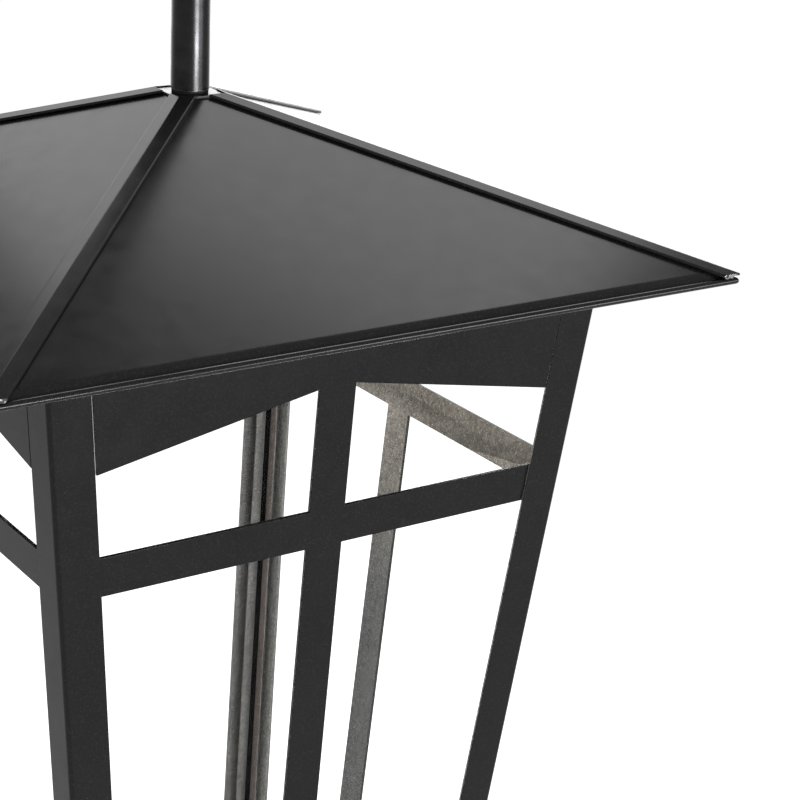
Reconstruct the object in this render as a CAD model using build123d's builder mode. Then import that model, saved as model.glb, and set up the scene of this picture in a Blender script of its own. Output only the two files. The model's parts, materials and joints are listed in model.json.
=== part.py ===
from build123d import *
import math
import os

os.makedirs("parts", exist_ok=True)

# Hanging lantern on a two-length stem with a swivel under a square ceiling canopy.
# Millimetres, +Z up. The ceiling plane is Z = 0 and the stem's axis is X = Y = 0. Front is -Y.
# Heights of the lantern itself are measured from the lowest edge of the roof's lip.

# Threads, wire way and fits shared by the stem parts
THREAD_R = 6.6
WIRE_WAY_R = 4.25
RUNNING_GAP = 0.05
CLEARANCE = 0.2

# Ceiling strap and its fasteners
STRAP_LENGTH = 100.0
STRAP_WIDTH = 20.0
STRAP_T = 2.0
STRAP_WIRE_HOLE_R = 5.1
BOX_SCREW_SPACING = 88.9
BOX_SCREW_HOLE_R = 2.4
STUD_SPACING = 60.0
STUD_R = 2.5
STUD_BELOW_CANOPY = 6.0
CAP_NUT_ACROSS_FLATS = 8.0
CAP_NUT_HEX_H = 4.0
CAP_NUT_DOME_R = 3.8
GROUND_SCREW_X = 17.0
GROUND_SCREW_R = 2.0
GROUND_HEAD_ACROSS_FLATS = 7.0
GROUND_HEAD_H = 2.6

# Canopy pan
CANOPY_SIZE = 127.0
CANOPY_DEPTH = 26.0
CANOPY_WALL = 1.2
CANOPY_CORNER_R = 6.0
CANOPY_EDGE_R = 3.0

# Swivel between the canopy and the stem
SPINDLE_ABOVE_CANOPY = 15.0
SPINDLE_BORE_R = 4.0
SPINDLE_SHOULDER_R = 12.0
SPINDLE_SHOULDER_T = 3.0
SPIGOT_R = 6.0
SPIGOT_HEAD_R = 8.0
SPIGOT_HEAD_T = 2.5
LOCK_NUT_ACROSS_FLATS = 20.0
LOCK_NUT_H = 6.0
HOUSING_R = 12.0
HOUSING_FACE_GAP = 0.1
HOUSING_LEDGE_T = 4.0
HOUSING_EDGE = 0.5
CHAMBER_GAP = 0.1
CHAMBER_ROOM = 2.5
FORK_GAP = 10.0
FORK_OUTER = 20.0
EAR_R = 9.0
EAR_TO_SHOULDER = 5.0
FORK_TOP_CLEARANCE = 1.5
TONGUE_SIDE_GAP = 0.1
TONGUE_TOP_R = 9.5
PIN_R = 3.0
PIN_HEAD_R = 4.5
PIN_HEAD_T = 1.5
PIN_HEAD_EDGE = 0.5
KNUCKLE_SHOULDER_T = 6.0
KNUCKLE_SPIGOT_LENGTH = 12.0
KNUCKLE_BORE_DEPTH = 8.0
WIRE_PORT_R = 3.0
WIRE_PORT_ANGLE = 34.0

# Stem tubes with threaded bushings brazed into their ends
STEM_R = 10.0
STEM_WALL = 1.2
BUSHING_LENGTH = 15.0
UPPER_STEM_LENGTH = 152.4
LOWER_STEM_LENGTH = 304.8
COUPLING_LENGTH = 25.0

# Foot of the stem
GASKET_R = 9.5
GASKET_T = 1.5
APEX_PLATE_SIZE = 27.0
APEX_PLATE_T = 1.5
NIPPLE_IN_STEM = 12.4

# Roof
ROOF_HALF = 203.2
ROOF_PITCH = 0.3633
RIDGE_AT_CORNER = 5.85
SHEET_T = 1.0
CAP_HEIGHT = 2.0
CAP_FLANK = 7.5
CAP_HEM = 4.0
CAP_RIDGE_R = 1.5
CAP_HEM_R = 0.95
CAP_END_GAP = 0.05
ROOF_HOLE_HALF = 9.0
ROOF_TAB_MARGIN = 0.1
ROOF_MITRE_GAP = 0.15
LIP_BEAD_R = 1.8
LIP_SLOPE = 59.0
LIP_BEND_R = 8.5

# Tapering body: how far the roof reaches past it at the eave, how much its half width grows
# per millimetre of height, and its lowest edge
ROOF_OVERHANG = 48.6
TAPER = 0.0878
ROOF_SEAT_GAP = 0.3
BODY_BOTTOM = -482.6

# Layers of the body's walls, measured square to a face from its outside
SKIN_T = 1.5
BAR_T = 2.0
GLASS_T = 2.5
GLASS_PLAY = 0.2
CHANNEL_T = 1.0

# Faces of the body, with widths measured along a face from its corner
POST_FLANGE = 21.5
POST_CORNER_R = 2.4
SEAM = 0.5
CHEVRON_SIDE = -60.6
CHEVRON_PEAK = -35.9
BAR_WIDTH = 20.6
BAR_TOP = -104.4
BAR_END_GAP = 0.7
MULLION_BEHIND_BAND = 25.9
GLASS_BELOW_TOP = 7.4
GLASS_EDGE_GAP = 0.5
CHANNEL_WEB = 9.5
CHANNEL_LEG = 6.5
CHANNEL_BELOW_HEAD = 0.4

# Head frame and base frame
HEAD_LEG_T = 1.5
HEAD_LEG_H = 14.0
HEAD_LEDGE_T = 1.5
HEAD_LEDGE = 16.0
BASE_LEDGE_T = 1.5
BASE_LEDGE = 14.0
BASE_UPSTAND_H = 20.6

# Hanger strap inside the roof
HANGER_WIDTH = 25.0
HANGER_T = 2.0
HANGER_BELOW_ROOF = 5.1
HANGER_FLAT_HALF = 20.0
HANGER_FOOT = 14.0
HANGER_END_GAP = 4.7
HANGER_BEND_R = 4.0
HANGER_SCREW_FROM_END = 5.0
HANGER_SCREW_R = 2.0
HANGER_SCREW_HEAD_R = 3.75
HANGER_SCREW_HEAD_H = 2.6
HANGER_SCREW_HEAD_EDGE = 0.8
HANGER_SCREW_STANDS_OUT = 1.0
WASHER_R = 11.0
WASHER_T = 1.0
NIPPLE_NUT_ACROSS_FLATS = 20.0
NIPPLE_NUT_H = 6.5

# Lampholder
HOLDER_COLLAR_R = 9.0
HOLDER_COLLAR_H = 9.0
HOLDER_BELOW_NUT = 2.0
HOLDER_CAP_WALL = 1.0
HOLDER_CAP_SKIRT = 9.0
HOLDER_R = 19.0
HOLDER_H = 45.0
HOLDER_BOTTOM_EDGE = 1.0
SHELL_R = 13.25
SHELL_T = 0.4
SHELL_ABOVE_HOLDER_BOTTOM = 2.0
CAVITY_DEPTH = 30.0
SHELL_FLANGE_R = 9.0
CONTACT_R = 4.0
CONTACT_T = 3.5
HOLDER_WIRE_HOLE_R = 1.6
HOLDER_WIRE_HOLE_AT = 3.2

# Bulb
BULB_LENGTH = 108.0
BULB_R = 30.0
BULB_BASE_LENGTH = 24.5
BULB_TIP_R = 5.0
BULB_TIP_T = 1.0
BULB_SHOULDER_H = 2.5
BULB_NECK_WALL = 0.8
BULB_NECK_DEPTH = 10.0
BULB_NECK_LENGTH = 6.0
BULB_GLASS_WALL = 1.0
BULB_JOIN_ANGLE = 28.0

# Heights that follow, counted down from the ceiling
CANOPY_BOTTOM_Z = -CANOPY_DEPTH
CANOPY_FLOOR_Z = CANOPY_BOTTOM_Z + CANOPY_WALL
SPINDLE_SHOULDER_Z = CANOPY_BOTTOM_Z - SPINDLE_SHOULDER_T
HOUSING_TOP_Z = SPINDLE_SHOULDER_Z - HOUSING_FACE_GAP
LEDGE_Z = HOUSING_TOP_Z - HOUSING_LEDGE_T
FORK_TOP_Z = LEDGE_Z - SPIGOT_HEAD_T - CHAMBER_ROOM
PIVOT_Z = FORK_TOP_Z - FORK_TOP_CLEARANCE - TONGUE_TOP_R
KNUCKLE_SHOULDER_Z = PIVOT_Z - EAR_R - EAR_TO_SHOULDER
STEM_TOP_Z = KNUCKLE_SHOULDER_Z - KNUCKLE_SHOULDER_T
STEM_JOINT_Z = STEM_TOP_Z - UPPER_STEM_LENGTH
STEM_FOOT_Z = STEM_JOINT_Z - LOWER_STEM_LENGTH

# Angles that follow
ROOF_ANGLE = math.atan(ROOF_PITCH)
HIP_ANGLE = math.atan(ROOF_PITCH / math.sqrt(2))
FLANK_ANGLE = math.acos(math.cos(ROOF_ANGLE) ** 2) / 2
TAPER_ANGLE = math.atan(TAPER)

# Heights above the lip's lowest edge that follow from the roof and what hangs in it
HALF_AT_EAVE = ROOF_HALF - ROOF_OVERHANG
RIDGE_TOP = RIDGE_AT_CORNER + ROOF_PITCH * ROOF_HALF
PANEL_RIDGE = RIDGE_TOP - CAP_HEIGHT / math.cos(ROOF_ANGLE)
TAB_TOP = PANEL_RIDGE - ROOF_PITCH * (APEX_PLATE_SIZE / 2 + ROOF_TAB_MARGIN)
PLATE_TOP = TAB_TOP + APEX_PLATE_T
UNDER_RIDGE = PANEL_RIDGE - SHEET_T / math.cos(ROOF_ANGLE)
BODY_TOP = (UNDER_RIDGE - ROOF_PITCH * HALF_AT_EAVE - ROOF_SEAT_GAP) / (1 + ROOF_PITCH * TAPER)
HEAD_LEG_BOTTOM = BODY_TOP - HEAD_LEG_H
HANGER_TOP = TAB_TOP - SHEET_T - HANGER_BELOW_ROOF
WASHER_TOP = HANGER_TOP - HANGER_T
NUT_TOP = WASHER_TOP - WASHER_T
COLLAR_TOP = NUT_TOP - NIPPLE_NUT_H - HOLDER_BELOW_NUT
HOLDER_TOP = COLLAR_TOP - HOLDER_COLLAR_H - HOLDER_CAP_WALL
HOLDER_BOTTOM = HOLDER_TOP - HOLDER_H
CAVITY_TOP = HOLDER_BOTTOM + CAVITY_DEPTH
EAVE_Z = STEM_FOOT_Z - GASKET_T - PLATE_TOP

# Places in the walls that follow
GLASS_DEPTH = SKIN_T + BAR_T
WEB_IN = CHANNEL_WEB + CHANNEL_T

SIDES = {"front": 0, "right": 90, "back": 180, "left": 270}
CORNERS = {"front_left": 0, "front_right": 90, "back_right": 180, "back_left": 270}


def finish_part(builder, name):
    builder.part.label = name
    export_step(builder.part, f"parts/{name}.step")


def turned(x, y, z, angle):
    return Vector(x, y, z).rotate(Axis.Z, angle)


def level(height, angle=0):
    """A level plane at a lantern height, turned about the stem."""
    return Plane(origin=(0, 0, EAVE_Z + height), x_dir=turned(1, 0, 0, angle), z_dir=(0, 0, 1))


def add_ring(outer_r, inner_r, low_z, high_z):
    with BuildSketch(Plane.XY.offset(low_z)) as ring:
        Circle(outer_r)
        if inner_r > 0:
            Circle(inner_r, mode=Mode.SUBTRACT)
    extrude(ring.sketch, amount=high_z - low_z)


def add_hexagon(across_flats, inner_r, low_z, high_z):
    with BuildSketch(Plane.XY.offset(low_z)) as hexagon:
        RegularPolygon(across_flats / 2, 6, major_radius=False)
        Circle(inner_r, mode=Mode.SUBTRACT)
    extrude(hexagon.sketch, amount=high_z - low_z)


def drill(radius, low_z, high_z):
    with BuildSketch(Plane.XY.offset(low_z)) as hole:
        Circle(radius)
    extrude(hole.sketch, amount=high_z - low_z, mode=Mode.SUBTRACT)


def revolve_profile(*points):
    """A solid of revolution about the stem's axis from (radius, z) points."""
    with BuildSketch(Plane.XZ) as profile:
        with BuildLine():
            Polyline(*points, close=True)
        make_face()
    revolve(profile.sketch, axis=Axis.Z)


# Body faces. A face plane lies on the outside of one tapering wall, with its origin at the eave's
# height, its X across the face, its Y up the slope and its Z pointing out.
def half_width(height):
    return HALF_AT_EAVE + TAPER * height


def face_plane(angle, depth=0.0):
    outward = turned(0, -math.cos(TAPER_ANGLE), -math.sin(TAPER_ANGLE), angle)
    origin = turned(0, -HALF_AT_EAVE, EAVE_Z, angle)
    return Plane(origin=origin - outward * depth, x_dir=turned(1, 0, 0, angle), z_dir=outward)


def up_slope(height, depth=0.0):
    """Distance up a face plane to the lantern height that is wanted at a depth in the wall."""
    return (height - depth * math.sin(TAPER_ANGLE)) / math.cos(TAPER_ANGLE)


def level_depth(depth):
    """A wall depth measured level in place of square to the face."""
    return depth / math.cos(TAPER_ANGLE)


def face_point(height, inset, side):
    """A point of a face, inset along the face from its left (-1) or right (1) corner."""
    return (side * (half_width(height) - inset), up_slope(height))


def add_face_panel(low, high, inset, depth=0.0):
    """A four-cornered outline between two heights whose sides follow the corners."""
    Polygon(
        (-(half_width(low) - inset), up_slope(low, depth)),
        (half_width(low) - inset, up_slope(low, depth)),
        (half_width(high) - inset, up_slope(high, depth)),
        (-(half_width(high) - inset), up_slope(high, depth)),
        align=None,
    )


def corner_plane(height, angle):
    """A level plane with its origin on a corner line of the body and its X and Y along the faces."""
    corner_at = -half_width(height)
    return Plane(
        origin=turned(corner_at, corner_at, EAVE_Z + height, angle),
        x_dir=turned(1, 0, 0, angle),
        z_dir=(0, 0, 1),
    )


def extrude_down_corner(height, angle):
    """Extrude a level sketch down along the body's slanting corner line."""
    lean = turned(TAPER, TAPER, -1, angle)
    extrude(amount=height * lean.length, dir=lean)


# Mounting strap: a bar with screw holes for the ceiling box and threaded holes for the studs
with BuildPart() as mounting_strap:
    with BuildSketch(Plane.XY.offset(-STRAP_T)):
        SlotOverall(STRAP_LENGTH, STRAP_WIDTH)
        Circle(STRAP_WIRE_HOLE_R, mode=Mode.SUBTRACT)
        with GridLocations(BOX_SCREW_SPACING, 0, 2, 1):
            Circle(BOX_SCREW_HOLE_R, mode=Mode.SUBTRACT)
        with GridLocations(STUD_SPACING, 0, 2, 1):
            Circle(STUD_R, mode=Mode.SUBTRACT)
        with Locations((GROUND_SCREW_X, 0)):
            Circle(GROUND_SCREW_R, mode=Mode.SUBTRACT)
    extrude(amount=STRAP_T)
finish_part(mounting_strap, "mounting_strap")

stud_bottom_z = CANOPY_BOTTOM_Z - STUD_BELOW_CANOPY
with BuildPart() as strap_studs:
    with BuildSketch(Plane.XY.offset(stud_bottom_z)):
        with GridLocations(STUD_SPACING, 0, 2, 1):
            Circle(STUD_R)
    extrude(amount=-stud_bottom_z)
finish_part(strap_studs, "strap_studs")

# Canopy: a drawn square pan, open towards the ceiling
with BuildPart() as canopy:
    with BuildSketch(Plane.XY.offset(CANOPY_BOTTOM_Z)):
        RectangleRounded(CANOPY_SIZE, CANOPY_SIZE, CANOPY_CORNER_R)
    extrude(amount=CANOPY_DEPTH)
    fillet(canopy.faces().sort_by(Axis.Z)[0].edges(), CANOPY_EDGE_R)
    offset(amount=-CANOPY_WALL, openings=canopy.faces().sort_by(Axis.Z)[-1])
    with BuildSketch(Plane.XY.offset(CANOPY_BOTTOM_Z)):
        Circle(THREAD_R + CLEARANCE)
        with GridLocations(STUD_SPACING, 0, 2, 1):
            Circle(STUD_R + CLEARANCE)
    extrude(amount=CANOPY_WALL, mode=Mode.SUBTRACT)
finish_part(canopy, "canopy")

# Cap nuts: blind hexagon nuts with a dome, one under the canopy on each stud
nut_seat = Plane.XY.offset(CANOPY_BOTTOM_Z)
with BuildPart() as canopy_cap_nuts:
    with BuildSketch(nut_seat):
        with GridLocations(STUD_SPACING, 0, 2, 1):
            RegularPolygon(CAP_NUT_ACROSS_FLATS / 2, 6, major_radius=False)
    extrude(amount=-CAP_NUT_HEX_H)
    with BuildSketch(nut_seat.offset(-CAP_NUT_HEX_H)):
        with GridLocations(STUD_SPACING, 0, 2, 1):
            Circle(CAP_NUT_DOME_R)
    extrude(amount=-CAP_NUT_DOME_R)
    fillet(canopy_cap_nuts.faces().sort_by(Axis.Z)[:2].edges(), CAP_NUT_DOME_R - CLEARANCE)
    with BuildSketch(nut_seat):
        with GridLocations(STUD_SPACING, 0, 2, 1):
            Circle(STUD_R)
    extrude(amount=-STUD_BELOW_CANOPY, mode=Mode.SUBTRACT)
finish_part(canopy_cap_nuts, "canopy_cap_nuts")

with BuildPart() as ground_screw:
    with BuildSketch(Plane.XY.offset(-STRAP_T)):
        with Locations((GROUND_SCREW_X, 0)):
            RegularPolygon(GROUND_HEAD_ACROSS_FLATS / 2, 6, major_radius=False)
    extrude(amount=-GROUND_HEAD_H)
    with BuildSketch(Plane.XY.offset(-STRAP_T)):
        with Locations((GROUND_SCREW_X, 0)):
            Circle(GROUND_SCREW_R)
    extrude(amount=STRAP_T)
finish_part(ground_screw, "ground_screw")

# Swivel spindle: threaded through the canopy, with a headed spigot that carries the housing
with BuildPart() as swivel_spindle:
    revolve_profile(
        (SPINDLE_BORE_R, CANOPY_BOTTOM_Z + SPINDLE_ABOVE_CANOPY),
        (THREAD_R, CANOPY_BOTTOM_Z + SPINDLE_ABOVE_CANOPY),
        (THREAD_R, CANOPY_BOTTOM_Z),
        (SPINDLE_SHOULDER_R, CANOPY_BOTTOM_Z),
        (SPINDLE_SHOULDER_R, SPINDLE_SHOULDER_Z),
        (SPIGOT_R, SPINDLE_SHOULDER_Z),
        (SPIGOT_R, LEDGE_Z),
        (SPIGOT_HEAD_R, LEDGE_Z),
        (SPIGOT_HEAD_R, LEDGE_Z - SPIGOT_HEAD_T),
        (SPINDLE_BORE_R, LEDGE_Z - SPIGOT_HEAD_T),
    )
finish_part(swivel_spindle, "swivel_spindle")

with BuildPart() as spindle_lock_nut:
    add_hexagon(LOCK_NUT_ACROSS_FLATS, THREAD_R, CANOPY_FLOOR_Z, CANOPY_FLOOR_Z + LOCK_NUT_H)
finish_part(spindle_lock_nut, "spindle_lock_nut")

# Swivel housing: a turned cup over the spigot's head with a fork milled below it
pivot_plane = Plane.YZ.shift_origin((0, 0, PIVOT_Z))
with BuildPart() as swivel_housing:
    with BuildSketch(pivot_plane):
        Circle(EAR_R)
        Rectangle(2 * EAR_R, FORK_TOP_Z - PIVOT_Z, align=(Align.CENTER, Align.MIN))
    extrude(amount=FORK_OUTER / 2, both=True)
    with BuildSketch(Plane.XY.offset(PIVOT_Z - EAR_R)):
        Circle(HOUSING_R)
    extrude(amount=FORK_TOP_Z - PIVOT_Z + EAR_R, mode=Mode.INTERSECT)
    add_ring(HOUSING_R, 0, FORK_TOP_Z, HOUSING_TOP_Z)
    chamfer(swivel_housing.faces().sort_by(Axis.Z)[-1].edges(), HOUSING_EDGE)
    drill(SPIGOT_R + RUNNING_GAP, LEDGE_Z, HOUSING_TOP_Z)
    drill(SPIGOT_HEAD_R + CHAMBER_GAP, FORK_TOP_Z, LEDGE_Z)
    with BuildSketch(pivot_plane):
        Rectangle(2 * HOUSING_R, 2 * (FORK_TOP_Z - PIVOT_Z))
    extrude(amount=FORK_GAP / 2, both=True, mode=Mode.SUBTRACT)
    with BuildSketch(pivot_plane):
        Circle(PIN_R)
    extrude(amount=FORK_OUTER / 2, both=True, mode=Mode.SUBTRACT)
finish_part(swivel_housing, "swivel_housing")

with BuildPart() as swivel_pin:
    with BuildSketch(pivot_plane):
        Circle(PIN_R)
    extrude(amount=FORK_OUTER / 2, both=True)
    for way in (-1, 1):
        with BuildSketch(pivot_plane.offset(way * FORK_OUTER / 2)):
            Circle(PIN_HEAD_R)
        extrude(amount=way * PIN_HEAD_T)
    chamfer(swivel_pin.faces().sort_by(Axis.X)[0].edges(), PIN_HEAD_EDGE)
    chamfer(swivel_pin.faces().sort_by(Axis.X)[-1].edges(), PIN_HEAD_EDGE)
finish_part(swivel_pin, "swivel_pin")

# Stem knuckle: a tongue in the fork, a shoulder on the stem's end and a threaded spigot
knuckle_bottom_z = STEM_TOP_Z - KNUCKLE_SPIGOT_LENGTH
with BuildPart() as stem_knuckle:
    with BuildSketch(pivot_plane):
        Circle(TONGUE_TOP_R)
        Rectangle(2 * STEM_R, PIVOT_Z - KNUCKLE_SHOULDER_Z, align=(Align.CENTER, Align.MAX))
    extrude(amount=FORK_GAP / 2 - TONGUE_SIDE_GAP, both=True)
    with BuildSketch(Plane.XY.offset(KNUCKLE_SHOULDER_Z)):
        Circle(STEM_R)
    extrude(amount=PIVOT_Z + TONGUE_TOP_R - KNUCKLE_SHOULDER_Z, mode=Mode.INTERSECT)
    add_ring(STEM_R, 0, STEM_TOP_Z, KNUCKLE_SHOULDER_Z)
    add_ring(THREAD_R, 0, knuckle_bottom_z, STEM_TOP_Z)
    drill(WIRE_WAY_R, knuckle_bottom_z, knuckle_bottom_z + KNUCKLE_BORE_DEPTH)
    port_plane = Plane.XY.offset(knuckle_bottom_z + KNUCKLE_BORE_DEPTH).rotated((0, WIRE_PORT_ANGLE, 0))
    with BuildSketch(port_plane):
        Circle(WIRE_PORT_R)
    extrude(amount=KNUCKLE_SPIGOT_LENGTH + KNUCKLE_SHOULDER_T, mode=Mode.SUBTRACT)
    with BuildSketch(pivot_plane):
        Circle(PIN_R + RUNNING_GAP)
    extrude(amount=FORK_GAP / 2, both=True, mode=Mode.SUBTRACT)
finish_part(stem_knuckle, "stem_knuckle")


# Stem tubes: both lengths carry a threaded bushing in each end
def add_stem_tube(low_z, high_z):
    bore_r = STEM_R - STEM_WALL
    revolve_profile(
        (THREAD_R, low_z),
        (STEM_R, low_z),
        (STEM_R, high_z),
        (THREAD_R, high_z),
        (THREAD_R, high_z - BUSHING_LENGTH),
        (bore_r, high_z - BUSHING_LENGTH),
        (bore_r, low_z + BUSHING_LENGTH),
        (THREAD_R, low_z + BUSHING_LENGTH),
    )


with BuildPart() as upper_stem:
    add_stem_tube(STEM_JOINT_Z, STEM_TOP_Z)
finish_part(upper_stem, "upper_stem")

with BuildPart() as lower_stem:
    add_stem_tube(STEM_FOOT_Z, STEM_JOINT_Z)
finish_part(lower_stem, "lower_stem")

with BuildPart() as stem_coupling:
    add_ring(THREAD_R, WIRE_WAY_R, STEM_JOINT_Z - COUPLING_LENGTH / 2, STEM_JOINT_Z + COUPLING_LENGTH / 2)
finish_part(stem_coupling, "stem_coupling")

with BuildPart() as stem_gasket:
    add_ring(GASKET_R, THREAD_R, STEM_FOOT_Z - GASKET_T, STEM_FOOT_Z)
finish_part(stem_gasket, "stem_gasket")

with BuildPart() as apex_plate:
    with BuildSketch(level(TAB_TOP)):
        Rectangle(APEX_PLATE_SIZE, APEX_PLATE_SIZE)
        Circle(THREAD_R + CLEARANCE, mode=Mode.SUBTRACT)
    extrude(amount=APEX_PLATE_T)
finish_part(apex_plate, "apex_plate")

with BuildPart() as stem_nipple:
    add_ring(THREAD_R, WIRE_WAY_R, EAVE_Z + HOLDER_TOP, STEM_FOOT_Z + NIPPLE_IN_STEM)
finish_part(stem_nipple, "stem_nipple")

# Roof panels: each is a sheet with a flat tab under the apex plate, a straight slope, a bend
# down at the eave and an edge rolled outwards into a bead
roof_slope = Vector(math.cos(ROOF_ANGLE), -math.sin(ROOF_ANGLE))
roof_down = Vector(-math.sin(ROOF_ANGLE), -math.cos(ROOF_ANGLE))
lip_angle = math.radians(LIP_SLOPE)
lip_slope = Vector(math.cos(lip_angle), -math.sin(lip_angle))
lip_down = Vector(-math.sin(lip_angle), -math.cos(lip_angle))
bead_centre = Vector(ROOF_HALF - LIP_BEAD_R, LIP_BEAD_R)
bead_bottom = bead_centre + lip_down * LIP_BEAD_R
lip_on_bead = bead_centre + lip_down * (LIP_BEAD_R - SHEET_T)
bead_top = lip_on_bead - lip_slope * math.sqrt(LIP_BEAD_R**2 - (LIP_BEAD_R - SHEET_T) ** 2)


def meet(point_a, way_a, point_b, way_b):
    """Where two lines of the eave's section cross."""
    between = point_b - point_a
    along = (between.X * way_b.Y - between.Y * way_b.X) / (way_a.X * way_b.Y - way_a.Y * way_b.X)
    return point_a + way_a * along


slope_start = Vector(0, PANEL_RIDGE)
under_start = slope_start + roof_down * SHEET_T
level_way = Vector(1, 0)
tab_top = Vector(0, TAB_TOP)
tab_under = Vector(0, TAB_TOP - SHEET_T)
tab_corner = meet(tab_top, level_way, slope_start, roof_slope)
tab_under_corner = meet(tab_under, level_way, under_start, roof_slope)
bend_corner = meet(slope_start, roof_slope, lip_on_bead, lip_slope)
bend_under_corner = meet(under_start, roof_slope, bead_bottom, lip_slope)
for side, side_angle in SIDES.items():
    section_plane = Plane(
        origin=(0, 0, EAVE_Z), x_dir=turned(0, -1, 0, side_angle), z_dir=turned(-1, 0, 0, side_angle)
    )
    with BuildPart() as roof_panel:
        with BuildSketch(section_plane) as panel_section:
            with BuildLine():
                Polyline((ROOF_HOLE_HALF, TAB_TOP), tab_corner, bend_corner, bead_top)
                ThreePointArc(bead_top, (ROOF_HALF, LIP_BEAD_R), bead_bottom)
                Polyline(
                    bead_bottom,
                    bend_under_corner,
                    tab_under_corner,
                    (ROOF_HOLE_HALF, TAB_TOP - SHEET_T),
                    (ROOF_HOLE_HALF, TAB_TOP),
                )
            make_face()
            bend_corners = panel_section.vertices().sort_by_distance(bend_corner)
            fillet(bend_corners[0], LIP_BEND_R)
            under_corners = panel_section.vertices().sort_by_distance(bend_under_corner)
            fillet(under_corners[0], LIP_BEND_R - SHEET_T)
        extrude(amount=ROOF_HALF, both=True)
        mitre_outer = ROOF_HALF + SHEET_T
        mitre_inner = ROOF_HOLE_HALF / 2
        with BuildSketch(level(-SHEET_T, side_angle)):
            Polygon(
                (-(mitre_outer - ROOF_MITRE_GAP), -mitre_outer),
                (mitre_outer - ROOF_MITRE_GAP, -mitre_outer),
                (mitre_inner - ROOF_MITRE_GAP, -mitre_inner),
                (-(mitre_inner - ROOF_MITRE_GAP), -mitre_inner),
                align=None,
            )
        extrude(amount=RIDGE_TOP + 2 * SHEET_T, mode=Mode.INTERSECT)
    finish_part(roof_panel, f"roof_panel_{side}")

# Hip caps: a folded ridge strip with hemmed edges over each joint of the roof
flank_out = Vector(math.cos(FLANK_ANGLE), -math.sin(FLANK_ANGLE))
flank_down = Vector(-math.sin(FLANK_ANGLE), -math.cos(FLANK_ANGLE))
hem_top = flank_out * CAP_FLANK
hem_bottom = hem_top + flank_down * CAP_HEIGHT
hem_inner = hem_bottom - flank_out * CAP_HEM
hem_root = hem_inner - flank_down * (CAP_HEIGHT - SHEET_T)
ridge_inner = Vector(0, -SHEET_T / math.cos(FLANK_ANGLE))
hip_run = math.sqrt(2) * ROOF_HALF / math.cos(HIP_ANGLE)
for corner, corner_angle in CORNERS.items():
    diagonal = math.cos(HIP_ANGLE) / math.sqrt(2)
    hip_plane = Plane(
        origin=(0, 0, EAVE_Z + RIDGE_TOP),
        x_dir=turned(1, -1, 0, corner_angle),
        z_dir=turned(-diagonal, -diagonal, -math.sin(HIP_ANGLE), corner_angle),
    )
    with BuildPart() as hip_cap:
        with BuildSketch(hip_plane) as cap_section:
            with BuildLine():
                Polyline((0, 0), hem_top, hem_bottom, hem_inner, hem_root, ridge_inner, close=True)
            make_face()
            mirror(about=Plane.YZ)
            fillet(cap_section.vertices().sort_by_distance((0, 0))[0], CAP_RIDGE_R)
            hems = cap_section.vertices().filter_by(lambda v: abs(v.X) > CAP_FLANK - CAP_HEM / 2)
            fillet(hems, CAP_HEM_R)
        extrude(amount=hip_run + 2 * CAP_FLANK)
        with BuildSketch(level(-CAP_HEIGHT)):
            Rectangle(2 * ROOF_HALF, 2 * ROOF_HALF)
            Rectangle(APEX_PLATE_SIZE + 2 * CAP_END_GAP, APEX_PLATE_SIZE + 2 * CAP_END_GAP, mode=Mode.SUBTRACT)
        extrude(amount=RIDGE_TOP + 2 * CAP_HEIGHT, mode=Mode.INTERSECT)
    finish_part(hip_cap, f"hip_cap_{corner}")

# Head frame: a welded ring with a leg behind the skin and a ledge turned inwards under the roof
head_leg_depth = SKIN_T + HEAD_LEG_T
ledge_outer = half_width(BODY_TOP - HEAD_LEDGE_T) - level_depth(SKIN_T)
hanger_end = ledge_outer - HANGER_END_GAP
hanger_screw_at = hanger_end - HANGER_SCREW_FROM_END
with BuildPart() as head_frame:
    for side_angle in SIDES.values():
        with BuildSketch(face_plane(side_angle, SKIN_T)):
            add_face_panel(HEAD_LEG_BOTTOM, BODY_TOP, level_depth(SKIN_T) + RUNNING_GAP, head_leg_depth)
        extrude(amount=-HEAD_LEG_T)
    with BuildSketch(level(BODY_TOP - HEAD_LEDGE_T)):
        Rectangle(2 * ledge_outer, 2 * ledge_outer)
        Rectangle(2 * (ledge_outer - HEAD_LEDGE), 2 * (ledge_outer - HEAD_LEDGE), mode=Mode.SUBTRACT)
    extrude(amount=HEAD_LEDGE_T)
    with BuildSketch(level(BODY_TOP - HEAD_LEDGE_T)):
        with GridLocations(2 * hanger_screw_at, 0, 2, 1):
            Circle(HANGER_SCREW_R)
    extrude(amount=HEAD_LEDGE_T, mode=Mode.SUBTRACT)
finish_part(head_frame, "head_frame")

# Corner posts: folded angles that lean in with the taper
post_t = level_depth(SKIN_T)
ledge_top = BODY_BOTTOM + BASE_LEDGE_T
for corner, corner_angle in CORNERS.items():
    with BuildPart() as corner_post:
        with BuildSketch(corner_plane(BODY_TOP, corner_angle)) as post_section:
            Rectangle(POST_FLANGE, POST_FLANGE, align=Align.MIN)
            fillet(post_section.vertices().sort_by_distance((0, 0))[0], POST_CORNER_R)
            with Locations((post_t, post_t)):
                Rectangle(POST_FLANGE, POST_FLANGE, align=Align.MIN, mode=Mode.SUBTRACT)
        extrude_down_corner(BODY_TOP - ledge_top, corner_angle)
    finish_part(corner_post, f"corner_post_{corner}")

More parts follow.
